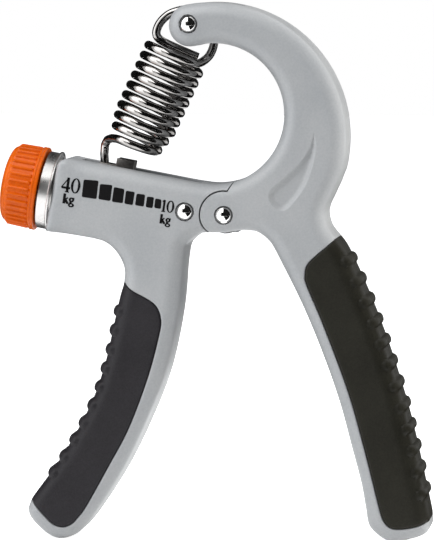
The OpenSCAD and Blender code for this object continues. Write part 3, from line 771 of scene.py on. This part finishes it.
def ridge_push(under, start, pitch, count):
    """Moves the points of a grip's skin out along its normal where a ridge lies."""
    line = spread(under, 0.2)
    heading = np.diff(line, axis=0)
    length = norm(heading, axis=1)
    heading /= length[:, None]
    ends = np.cumsum(length)

    def push(verts):
        d, along = distance(verts[:, :2], line)
        here = heading[np.clip(np.searchsorted(ends, along), 0, len(heading) - 1)]
        outward = np.stack([-here[:, 1], here[:, 0]], 1)
        wall = verts[:, 2] < HALF - EDGE_R - 1e-6
        lean = np.where(wall, 0, np.arccos(np.clip((EDGE_R - d) / EDGE_R, -1, 1)))
        reach = np.where(wall, verts[:, 2], HALF - EDGE_R + EDGE_R * lean)
        turn = (along - start) / pitch
        nearest = np.clip(np.round(turn), 0, count - 1)
        off = np.hypot((turn - nearest) * pitch, np.maximum(reach - RIDGE_REACH, 0))
        lift = RIDGE_H * np.sqrt(np.clip(1 - (off / RIDGE_W) ** 2, 0, 1))
        lift = np.where(d < EDGE_R, lift, 0)
        out = verts.copy()
        out[:, :2] += outward * (lift * np.cos(lean))[:, None]
        out[:, 2] += lift * np.sin(lean)
        return out
    return push


def grip(node, body, loop, under, seam, start, pitch, count):
    """A grip's rubber: both halves with their ridges, hollowed for the core of the handle."""
    seam_side = distance(loop, under)[0] > 0.01
    loop = loop + inward(loop) * np.where(seam_side, GRIP_GAP, 0)[:, None]
    half = relief(loop, GRIP_RINGS, grip_height(seam), GRIP_ROWS,
                  push=ridge_push(under, start, pitch, count))
    halves = []
    for side in (1, -1):
        piece = half_piece("ridged_" + node, half, side)
        core = prism("core", core_loop(under, seam), -1, HALF - PAD_T + CORE_GAP, side)
        halves.append(cut(piece, core))
    return finish(as_one(halves), body, node, smooth_to=50)


left_rubber = grip("left_grip", "left_handle", left_grip_loop, left_under, left_seam,
                   start=10.4, pitch=5.5, count=10)
right_rubber = grip("right_grip", "right_handle", right_grip_loop, right_under, right_seam,
                    start=7.1, pitch=6.2, count=12)


# ---- turned metal and the knob
def dome(radius, rise, steps=14):
    """Profile of a domed head from its edge to its top."""
    ball = (radius ** 2 + rise ** 2) / (2 * rise)
    end = math.asin(radius / ball)
    return [(ball * math.sin(a), rise - ball + ball * math.cos(a))
            for a in np.linspace(end, 0, steps + 1)]


HEAD_EDGE = 0.1    # chamfer under a head, and its rim's depth under the face
HEAD_RISE = 1.3


def rivet(node, body, at, shank):
    """A through rivet with a domed head on both faces."""
    foot = HALF - SEAT_DEPTH
    upper = [(shank, foot), (HEAD_R - HEAD_EDGE, foot), (HEAD_R, foot + HEAD_EDGE)]
    upper += [(r, HALF - HEAD_EDGE + z) for r, z in dome(HEAD_R, HEAD_RISE)]
    lower = [(r, -z) for r, z in reversed(upper)]
    piece = turned("polished_" + node, lower + upper, turn_at(at, math.pi / 2, "X"))
    return finish(piece, body, node, smooth_to=40)


rivets = [
    rivet("pivot_rivet", "right_handle", (0, 0), 1.7),
    rivet("arm_rivet", "right_handle", ARM_RIVET_AT, 1.5),
    rivet("housing_rivet", "left_handle", HOUSING_RIVET_AT, 1.5),
]

collar = turned("turned_collar", [
    (9.05, -SPIGOT), (10.75, -SPIGOT), (10.9, -SPIGOT + 0.15), (10.9, -1.15), (10.98, -1.03),
    (11.25, -0.98), (11.35, -0.88), (11.35, -0.52), (11.25, -0.42), (9.6, -0.42), (9.6, -0.02),
    (9.05, -0.02), (9.05, -SPIGOT)], screw_frame(0), 128)
finish(collar, "left_handle", "collar", smooth_to=30)

KNOB_FACE = -SPIGOT - 0.5
KNOB_RIBS = 36
RIB_SIDES = 8      # flat sides of the turned knob in one rib's width
RIB_FOOT_R = 10    # the knob's inner faces lie inside this
RIB_H = 0.6
RIB_CURVE = 0.6
RIB_START = 2.1
RIB_END = 8.35
DOME_R = 10.5
DOME_AT = 8.8
DOME_RISE = 2.4


def make_knob():
    """The hollow knob, with its ribs raised from the turned shape."""
    profile = [(0, 9.2), (5, 9.2), (5, 1.0), (5.05, 0.9), (9.0, 0.9), (9.0, 0.0), (11.4, 0.0),
               (11.72, 0.12), (11.8, 0.35), (11.8, 0.62), (11.66, 0.78), (11.68, 1.0),
               (11.8, 1.12), (11.8, 1.4), (11.6, 1.62), (11.2, 1.72)]
    profile += [(11.1 - 0.03 * (z - 1.9), z) for z in np.arange(1.9, 8.4, 0.26)]
    profile += [(10.85, 8.5), (10.72, 8.66), (DOME_R, DOME_AT)]
    profile += [(DOME_R * math.cos(a), DOME_AT + DOME_RISE * math.sin(a))
                for a in np.radians(np.linspace(6, 90, 22))]
    piece = turned("ribbed_knob", [(r, -z) for r, z in profile], Matrix.Identity(4),
                   KNOB_RIBS * RIB_SIDES)
    mesh = piece.data
    for v in mesh.vertices:
        r, z = math.hypot(v.co.x, v.co.y) / MM, -v.co.z / MM
        if r < RIB_FOOT_R:
            continue
        wave = math.cos(math.atan2(v.co.y, v.co.x) * KNOB_RIBS)
        rib = max(0.0, wave) ** RIB_CURVE
        ends = min(1, max(0, (z - RIB_START + 0.2) / 0.35)) * min(1, max(0, (RIB_END - z) / 0.4))
        scale = 1 + RIB_H * rib * ends / r
        v.co.x *= scale
        v.co.y *= scale
    mesh.transform(screw_frame(KNOB_FACE))
    mesh.update()
    return finish(piece, "adjuster", "knob", smooth_to=40)


knob = make_knob()

# ---- carriage
PIN_AT = (15, 8)
# Blocks and the fork's gap: from and to along the axis from the pin, low, high, width
NUT_BLOCK = (-4.5, 3.7, -5, 5, 10)
FORK_BLOCK = (-4.4, 0.5, 0, 10.8, 6.2)
GUARD_BLOCK = (0.3, 5.3, 5, 12.8, 6.2)
FORK_GAP = (-6, 4.1, 4.05, 14, 3)
NUT_BORE = (3.05, 0, 30)
NUT_EDGE = 0.25


def at_pin(u0, u1, *rest, name="box"):
    """A box in the housing whose ends are given from the hook pin."""
    return axis_box(PIN_AT[0] + u0, PIN_AT[0] + u1, *rest, name)


def make_carriage():
    """The carriage with its softened edges, the gap for the hook and the screw's bore."""
    piece = at_pin(*NUT_BLOCK, name="steel_carriage")
    cut(piece, at_pin(*FORK_BLOCK), "UNION")
    cut(piece, at_pin(*GUARD_BLOCK), "UNION")
    modified(piece, "BEVEL", width=NUT_EDGE * MM, segments=3, limit_method="ANGLE")
    cut(piece, at_pin(*FORK_GAP))
    cut(piece, rod("bore", *NUT_BORE))
    return finish(piece, "carriage", "carriage_nut", smooth_to=30)


carriage = make_carriage()

# ---- spring
COIL_TILT = math.radians(24.8)
COIL_SHIFT = -0.8
COIL_R = 8.15
COIL_START = 9.2
COIL_PITCH = 3.05
COIL_TURNS = 9.5
FIRST_TURN = 1 / 14     # where the drawn turns start, and how far before the last they stop
LAST_TURN = 1.9 / 14
TURN_STEP = 1 / 56
WIRE_R = 1.2
WIRE_SIDES = 20
WIRE_STEP = 0.45
HOOK_PIN_R = 1.2
TOUCH = 0.1


def in_spring(s, p, y):
    """Spring coordinates (along the coil, to its right, backwards) to (right, up, outwards)."""
    return np.array([
        ARM_RIVET_AT[0] - s * math.sin(COIL_TILT) + p * math.cos(COIL_TILT),
        ARM_RIVET_AT[1] - s * math.cos(COIL_TILT) - p * math.sin(COIL_TILT), -y])


# The loop over the bush and its bend to the first turn, and the bend from the last turn to the
# hook, as (s, p, backwards)
LOOP = [
    (7.95, 5.1), (8.1, 1.4), (8.2, -1.7), (8.2, -4.8), (8, -6.9), (7.1, -8.2), (5.5, -8.65),
    (3.6, -8.55), (1.9, -8), (0.3, -7.1), (-1.1, -5.7), (-2.5, -3.9), (-3.4, -2.1), (-3.7, 0),
    (-3.3, 2.1), (-2.3, 4), (-0.9, 5.7), (0.9, 7), (2.8, 7.75), (4.9, 8), (6.5, 7.85)]
FIRST_BEND = [(7.7, 7.55, -0.3), (8.6, 6.9, -1.9)]
LAST_BEND = [(38.4, 0.9, -1.7), (39.5, 0.5, -0.5), (40.9, 0.1, 0), (42.5, 0.3, 0)]
DRAW_FROM = 7      # the turns draw in towards the hook from here on
DRAW_IN = 0.7
HOOK_START = 45    # the wire's last stretch, round the pin, starts here along the coil


def spring_path():
    """The wire's middle line, from the loop's free end to the hook's."""
    path = [in_spring(s, p, 0) for s, p in smooth(LOOP, 4)]
    path += [in_spring(*bend) for bend in FIRST_BEND]
    for n in np.arange(FIRST_TURN, COIL_TURNS - LAST_TURN, TURN_STEP):
        turn = 2 * math.pi * n
        r = COIL_R - DRAW_IN * max(0, n - DRAW_FROM)
        path.append(in_spring(COIL_START + COIL_PITCH * n, COIL_SHIFT + r * math.cos(turn),
                              -r * math.sin(turn)))
    near = COIL_SHIFT - COIL_R
    path += [in_spring(s, near + p, y) for s, p, y in LAST_BEND]
    path += [(*p, 0) for p in arc(in_housing(*PIN_AT), HOOK_PIN_R + WIRE_R + TOUCH, 175, 375, 20)]
    return np.array(path)


def eased(path, step):
    """A path with its corners eased and its points at even distances."""
    for _ in range(2):
        path[1:-1] = (path[:-2] + 2 * path[1:-1] + path[2:]) / 4
    return evenly(path, lambda length: int(length / step))


def swept(name, path, radius, sides):
    """A round wire along a path, with softened ends."""
    heading = unit(np.gradient(path, axis=0))
    side = np.cross(heading[0], [0, 0, 1.0])
    rows = []
    angles = np.linspace(0, 2 * math.pi, sides, endpoint=False)
    for i, h in enumerate(heading):
        side = side - (side @ h) * h
        side /= norm(side)
        up = np.cross(h, side)
        ring = np.cos(angles)[:, None] * side + np.sin(angles)[:, None] * up
        if i == 0:
            for ahead, share in ((0, 0.55), (0.08, 0.82)):
                rows.append(path[0] + ahead * h + radius * share * ring)
        rows.append(path[i] + radius * ring)
    for ahead, share in ((0.2, 0.82), (0.28, 0.55)):
        rows.append(path[-1] + ahead * h + radius * share * ring)
    numbers = np.arange(len(rows) * sides).reshape(-1, sides)
    faces = [f for upper, lower in zip(numbers, numbers[1:]) for f in wall_faces(upper, lower)]
    faces += [numbers[0].tolist(), numbers[-1][::-1].tolist()]
    return edited(mesh_piece(name, place(np.vstack(rows)), faces), merged())


spring = swept("chrome_spring", eased(spring_path(), WIRE_STEP), WIRE_R, WIRE_SIDES)
shade(spring, 60)
spring_from = place([in_spring(COIL_START, 0, 0)])[0]
spring_to = place([in_spring(HOOK_START, 0, 0)])[0]
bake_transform(spring)
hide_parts("spring_upper", "spring_lower")

# ---- printed scale
INK_T = 0.05
INK_LAP = 0.02     # how deep the ink starts under the face


def flat_shape(loops, name):
    """Thin printed shapes on the front face, from closed loops."""
    return as_one([prism(name, joined(np.array(loop, float)), HALF - INK_LAP, HALF + INK_T, 1)
                   for loop in loops])


def softened(quad, radius=0.5, steps=5):
    """A four-sided bar with rounded corners."""
    quad = joined(np.array(quad, float))
    out = []
    for i in range(4):
        a, b, c = quad[i - 1], quad[i], quad[(i + 1) % 4]
        sides = np.array([a - b, c - b])
        r = min(radius, *(0.32 * norm(sides, axis=1)))
        start, end = b + unit(sides) * r
        for t in np.linspace(0, 1, steps + 1):
            out.append((1 - t) ** 2 * start + 2 * t * (1 - t) * b + t * t * end)
    return out


bars = [
    [(-39.15, 9.68), (-34.97, 9.38), (-35.57, 4.23), (-39.75, 4.83)],
    [(-34.55, 8.48), (-31.07, 8.18), (-31.67, 3.73), (-35.05, 4.23)],
    [(-30.65, 7.68), (-27.67, 7.08), (-28.17, 3.13), (-31.25, 3.53)],
    [(-27.25, 6.68), (-24.77, 6.28), (-25.37, 2.63), (-27.75, 3.03)],
    [(-24.25, 5.88), (-21.87, 5.58), (-22.27, 2.23), (-24.75, 2.63)],
    [(-21.35, 5.08), (-19.37, 4.88), (-19.77, 1.83), (-21.75, 2.13)],
    [(-19.05, 4.58), (-17.27, 4.28), (-17.47, 1.63), (-19.35, 1.93)],
]


def stroke(points, widths, weight):
    """The outline of a pen stroke of changing width, made bolder by the weight."""
    p = np.array(points, float)
    w = np.interp(np.linspace(0, 1, len(p)), np.linspace(0, 1, len(widths)), widths) * weight / 2
    d = unit(np.gradient(p, axis=0))
    n = np.stack([-d[:, 1], d[:, 0]], 1)
    return np.vstack([p + n * w[:, None], (p - n * w[:, None])[::-1]])


def bowl(cx, cy, rx, ry, widths):
    """A round stroke in two halves."""
    return [(arc((cx, cy), (rx, ry), a, a + 180, 28), widths) for a in (90, 270)]


# Pen strokes (points, widths) of the characters on a body 1 high, and their advance
GLYPHS = {
    "0": (bowl(0.29, 0.5, 0.235, 0.47, [0.045, 0.12, 0.045]), 0.62),
    "1": ([([(0.25, 0.02), (0.25, 0.98)], [0.12]),
           ([(0.08, 0.84), (0.27, 0.97)], [0.05, 0.07]),
           ([(0.08, 0.02), (0.42, 0.02)], [0.045])], 0.5),
    "4": ([([(0.44, 0.02), (0.44, 0.98)], [0.12]),
           ([(0.46, 0.97), (0.03, 0.29)], [0.05]),
           ([(0.03, 0.29), (0.62, 0.29)], [0.1]),
           ([(0.3, 0.02), (0.58, 0.02)], [0.045])], 0.68),
    "k": ([([(0.14, 0), (0.14, 1)], [0.15]),
           ([(0.02, 0.97), (0.2, 0.97)], [0.05]),
           ([(0.0, 0.03), (0.28, 0.03)], [0.06]),
           ([(0.16, 0.33), (0.5, 0.62)], [0.08]),
           ([(0.26, 0.4), (0.52, 0.03)], [0.13, 0.15]),
           ([(0.38, 0.03), (0.62, 0.03)], [0.06])], 0.64),
    "g": (bowl(0.26, 0.45, 0.17, 0.18, [0.07, 0.13, 0.07])
          + bowl(0.27, -0.1, 0.22, 0.15, [0.07, 0.11, 0.07])
          + [([(0.16, 0.28), (0.12, 0.17), (0.3, 0.1)], [0.08, 0.09, 0.12]),
             ([(0.4, 0.58), (0.54, 0.63)], [0.07, 0.1])], 0.58),
}
SLANT = math.radians(-8)    # of the lines of print


def lettering(text, at, size, name, weight):
    """Characters along the housing's slope, from a base point."""
    loops, x = [], 0.0
    c, s = math.cos(SLANT), math.sin(SLANT)
    turn = np.array([[c, s], [-s, c]])
    for letter in text:
        strokes, width = GLYPHS[letter]
        for points, widths in strokes:
            loops.append(at + (stroke(points, widths, weight) + [x, 0]) * size @ turn)
        x += width
    return flat_shape(loops, name)


scale_marks = [
    flat_shape([softened(b) for b in bars], "scale_bars"),
    lettering("40", (-45.75, 6.35), 4.2, "scale_number_high", 1.5),
    lettering("kg", (-45.2, 3.1), 2.7, "scale_unit_high", 1.9),
    lettering("10", (-17.65, 1.0), 3.35, "scale_number_low", 1.6),
    lettering("kg", (-17.9, -2.3), 2.55, "scale_unit_low", 1.8),
]
for mark in scale_marks:
    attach(mark, "left_handle")


# ---- materials
def feed(node, inputs):
    """Sets a node's inputs to values, or links them to outputs: of a node, to its first."""
    for socket, source in inputs.items():
        if isinstance(source, bpy.types.Node):
            source = source.outputs[0]
        if isinstance(source, bpy.types.NodeSocket):
            node.id_data.links.new(source, node.inputs[socket])
        else:
            node.inputs[socket].default_value = source


def node_maker(tree):
    """A helper that adds a node to a tree, with its settings and inputs."""
    def make(kind, inputs=None, **settings):
        node = tree.nodes.new("ShaderNode" + kind)
        for key, value in settings.items():
            setattr(node, key, value)
        feed(node, inputs or {})
        return node
    return make


def new_material(name):
    """A material, its shader and a helper for its other nodes."""
    mat = bpy.data.materials.new(name)
    mat.use_nodes = True
    return mat, mat.node_tree.nodes["Principled BSDF"], node_maker(mat.node_tree)


def finish_of(name, dark, light, rough, rough_spread, metallic, grain, grain_depth, patch,
              specular=0.5):
    """A procedural finish: slow colour patches, fine grain in colour, gloss and bump."""
    mat, shader, node = new_material(name)
    where = node("TexCoord").outputs["Object"]
    patches = node("TexNoise", {"Vector": where, "Scale": patch, "Detail": 5.0,
                                "Roughness": 0.55})
    fine = node("TexNoise", {"Vector": where, "Scale": grain, "Detail": 3.0})
    mixed = node("Math", {0: patches, 1: fine}, operation="ADD")
    ramp = node("MapRange", {"Value": mixed, "From Min": 0.7, "From Max": 1.3})
    colour = node("Mix", {"Factor": ramp, "A": (*dark, 1), "B": (*light, 1)}, data_type="RGBA")
    gloss = node("MapRange", {"Value": patches, "From Min": 0.3, "From Max": 0.7,
                              "To Min": rough - rough_spread, "To Max": rough + rough_spread})
    bump = node("Bump", {"Height": fine, "Strength": 1.0, "Distance": grain_depth})
    feed(shader, {"Base Color": colour.outputs["Result"], "Roughness": gloss, "Normal": bump,
                  "Metallic": metallic, "Specular IOR Level": specular})
    return mat


# Dark and light colour, roughness and its spread, metallic, grain's scale and depth, patches'
# scale and specular
FINISHES = {
    "handle_plastic": ((0.335, 0.345, 0.355), (0.40, 0.405, 0.408),
        0.42, 0.08, 0, 1800, 15e-6, 60),
    "left_grip_rubber": ((0.014, 0.0125, 0.0145), (0.024, 0.022, 0.025),
        0.52, 0.08, 0, 2600, 30e-6, 90, 0.2),
    "right_grip_rubber": ((0.012, 0.011, 0.0075), (0.020, 0.019, 0.013),
        0.52, 0.08, 0, 2600, 30e-6, 90, 0.18),
    "knob_plastic": ((0.62, 0.092, 0.001), (0.73, 0.122, 0.002),
        0.3, 0.08, 0, 1500, 10e-6, 120, 0.2),
    "polished_chrome": ((0.74, 0.73, 0.72), (0.82, 0.81, 0.8), 0.07, 0.03, 1, 900, 2e-6, 200),
    "spring_steel": ((0.3, 0.29, 0.28), (0.4, 0.385, 0.375), 0.09, 0.03, 1, 900, 3e-6, 200),
    "turned_steel": ((0.50, 0.49, 0.48), (0.60, 0.59, 0.58), 0.3, 0.06, 1, 1500, 10e-6, 300),
    "dark_steel": ((0.10, 0.095, 0.09), (0.2, 0.19, 0.18), 0.38, 0.1, 0.9, 1500, 20e-6, 90),
    "bearing_bronze": ((0.42, 0.26, 0.10), (0.6, 0.4, 0.18), 0.35, 0.1, 1, 1200, 20e-6, 90),
    "zinc_steel": ((0.42, 0.42, 0.43), (0.6, 0.6, 0.6), 0.3, 0.08, 1, 1200, 20e-6, 90),
    "printed_ink": ((0.003, 0.003, 0.003), (0.007, 0.006, 0.007),
        0.5, 0.08, 0, 3000, 20e-6, 90, 0.1),
}
materials = {name: finish_of(name, *values) for name, values in FINISHES.items()}


def paint(piece, material):
    """Gives a piece one finish."""
    if not piece.data.materials:
        piece.data.materials.append(None)
    for held in piece.material_slots:
        held.material = materials[material]


for shell in shells:
    paint(shell, "handle_plastic")
paint(left_rubber, "left_grip_rubber")
paint(right_rubber, "right_grip_rubber")
for head in rivets:
    paint(head, "polished_chrome")
paint(collar, "turned_steel")
paint(knob, "knob_plastic")
paint(carriage, "dark_steel")
paint(spring, "spring_steel")
for mark in scale_marks:
    paint(mark, "printed_ink")
for node_name in ("left_shell_screws", "right_shell_screws", "pivot_washers", "thrust_washer",
                  "lead_screw", "hook_pin", "spring_roller"):
    paint(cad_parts[node_name], "zinc_steel")
for node_name in ("thrust_bush", "end_bearing", "pivot_bush"):
    paint(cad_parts[node_name], "bearing_bronze")
paint(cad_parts["retaining_clip"], "dark_steel")

# ---- studio
WHITE = (1, 1, 1, 1)
SKY_COLOUR = (0.93, 0.96, 1.0, 1)
SKY_LIGHT = 0.5

# The sky lights the object softly and reads as white where it's seen, mirrored or seen through
world = bpy.data.worlds.new("studio")
bpy.context.scene.world = world
world.use_nodes = True
world.node_tree.nodes.clear()
sky_node = node_maker(world.node_tree)
rays = sky_node("LightPath").outputs
seen = sky_node("Math", {0: rays["Is Camera Ray"], 1: rays["Is Glossy Ray"]},
                operation="MAXIMUM")
clear = sky_node("Math", {0: seen, 1: rays["Is Transmission Ray"]}, operation="MAXIMUM")
soft = sky_node("Background", {"Color": SKY_COLOUR, "Strength": SKY_LIGHT})
white = sky_node("Background", {"Color": WHITE, "Strength": 1.0})
mixed_sky = sky_node("MixShader", {"Fac": clear, 1: soft, 2: white})
sky_node("OutputWorld", {"Surface": mixed_sky})


def lamp(name, at, size, power, colour):
    """A soft oblong lamp that faces the object."""
    data = bpy.data.lights.new(name, "AREA")
    data.shape = "RECTANGLE"
    data.size, data.size_y = size
    data.energy = power
    data.color = colour
    thing = added(name, data)
    thing.location = at
    thing.rotation_mode = "QUATERNION"
    thing.rotation_quaternion = (PIVOT - Vector(at)).to_track_quat("-Z", "Y")
    return thing


lamp("top_soft_box", (-0.25, -0.3, 0.95), (0.9, 0.9), 7.0, (1, 1, 1))
lamp("left_soft_box", (-0.9, -0.5, 0.4), (0.6, 0.9), 3.6, (0.96, 0.98, 1.0))
right_box = lamp("right_soft_box", (0.95, 0.15, 0.25), (0.6, 0.9), 12.0, (1.0, 0.985, 0.95))
right_box.visible_glossy = False


def sheet(name, size, at, facing, material):
    """A flat sheet of the studio at a place, facing a direction."""
    bpy.ops.mesh.primitive_plane_add(size=1)
    thing = bpy.context.active_object
    thing.name = name
    turn = Vector(facing).to_track_quat("Z", "Y").to_matrix().to_4x4()
    stretch = Matrix.Diagonal((size[0], size[1], 1, 1))
    thing.data.transform(Matrix.Translation(Vector(at)) @ turn @ stretch)
    thing.data.materials.append(material)
    return thing


FLOOR_GLOW = 0.8    # the floor's own light, to read as white
MATT = 0.9
floor_mat, floor_shader, floor_node = new_material("pale_floor")
rays = floor_node("LightPath").outputs
plain = floor_node("Math", {0: rays["Is Camera Ray"], 1: rays["Is Glossy Ray"]},
                   operation="MAXIMUM")
glow = floor_node("Math", {0: plain, 1: FLOOR_GLOW}, operation="MULTIPLY")
feed(floor_shader, {"Base Color": (0.86, 0.86, 0.86, 1), "Roughness": MATT,
                    "Specular IOR Level": 0.1, "Emission Color": WHITE,
                    "Emission Strength": glow})
sheet("studio_floor", (6, 6), (0, 0, 0), (0, 0, 1), floor_mat)

card_mat, card_shader, _ = new_material("dark_card")
feed(card_shader, {"Base Color": (0.01, 0.01, 0.01, 1), "Roughness": MATT,
                   "Specular IOR Level": 0.0})


def dark_card(name, size, at, facing, side=1):
    """A card that only mirrors see, turned half round the object for the rear side."""
    turn = np.array([side, side, 1])
    card = sheet("dark_card_" + name, size, turn * at, turn * facing, card_mat)
    for rays_of in ("camera", "diffuse", "shadow", "transmission"):
        setattr(card, "visible_" + rays_of, False)


# Before, beside, over and under the object, in front and behind
for name, side in (("front", 1), ("rear", -1)):
    dark_card(name + "_low", (0.94, 0.365), (0.27, -0.42, 0.1875), (0, 1, 0), side)
    dark_card(name + "_high", (0.79, 0.25), (0.345, -0.42, 0.495), (0, 1, 0), side)
    dark_card(name + "_end", (0.42, 0.615), (0.74, -0.21, 0.3125), (-1, 0, 0), side)
    dark_card(name + "_over", (0.79, 0.42), (0.345, -0.21, 0.62), (0, 0, -1), side)
    dark_card(name + "_under", (0.7, 0.36), (0.39, -0.22, 0.003), (0, 0, 1), side)
dark_card("side", (0.6, 0.62), (0.74, 0.3, 0.313), (-1, 0, 0))
dark_card("floor", (0.7, 0.6), (0.39, 0.3, 0.003), (0, 0, 1))

# ---- last update of the scene
bpy.context.view_layer.update()
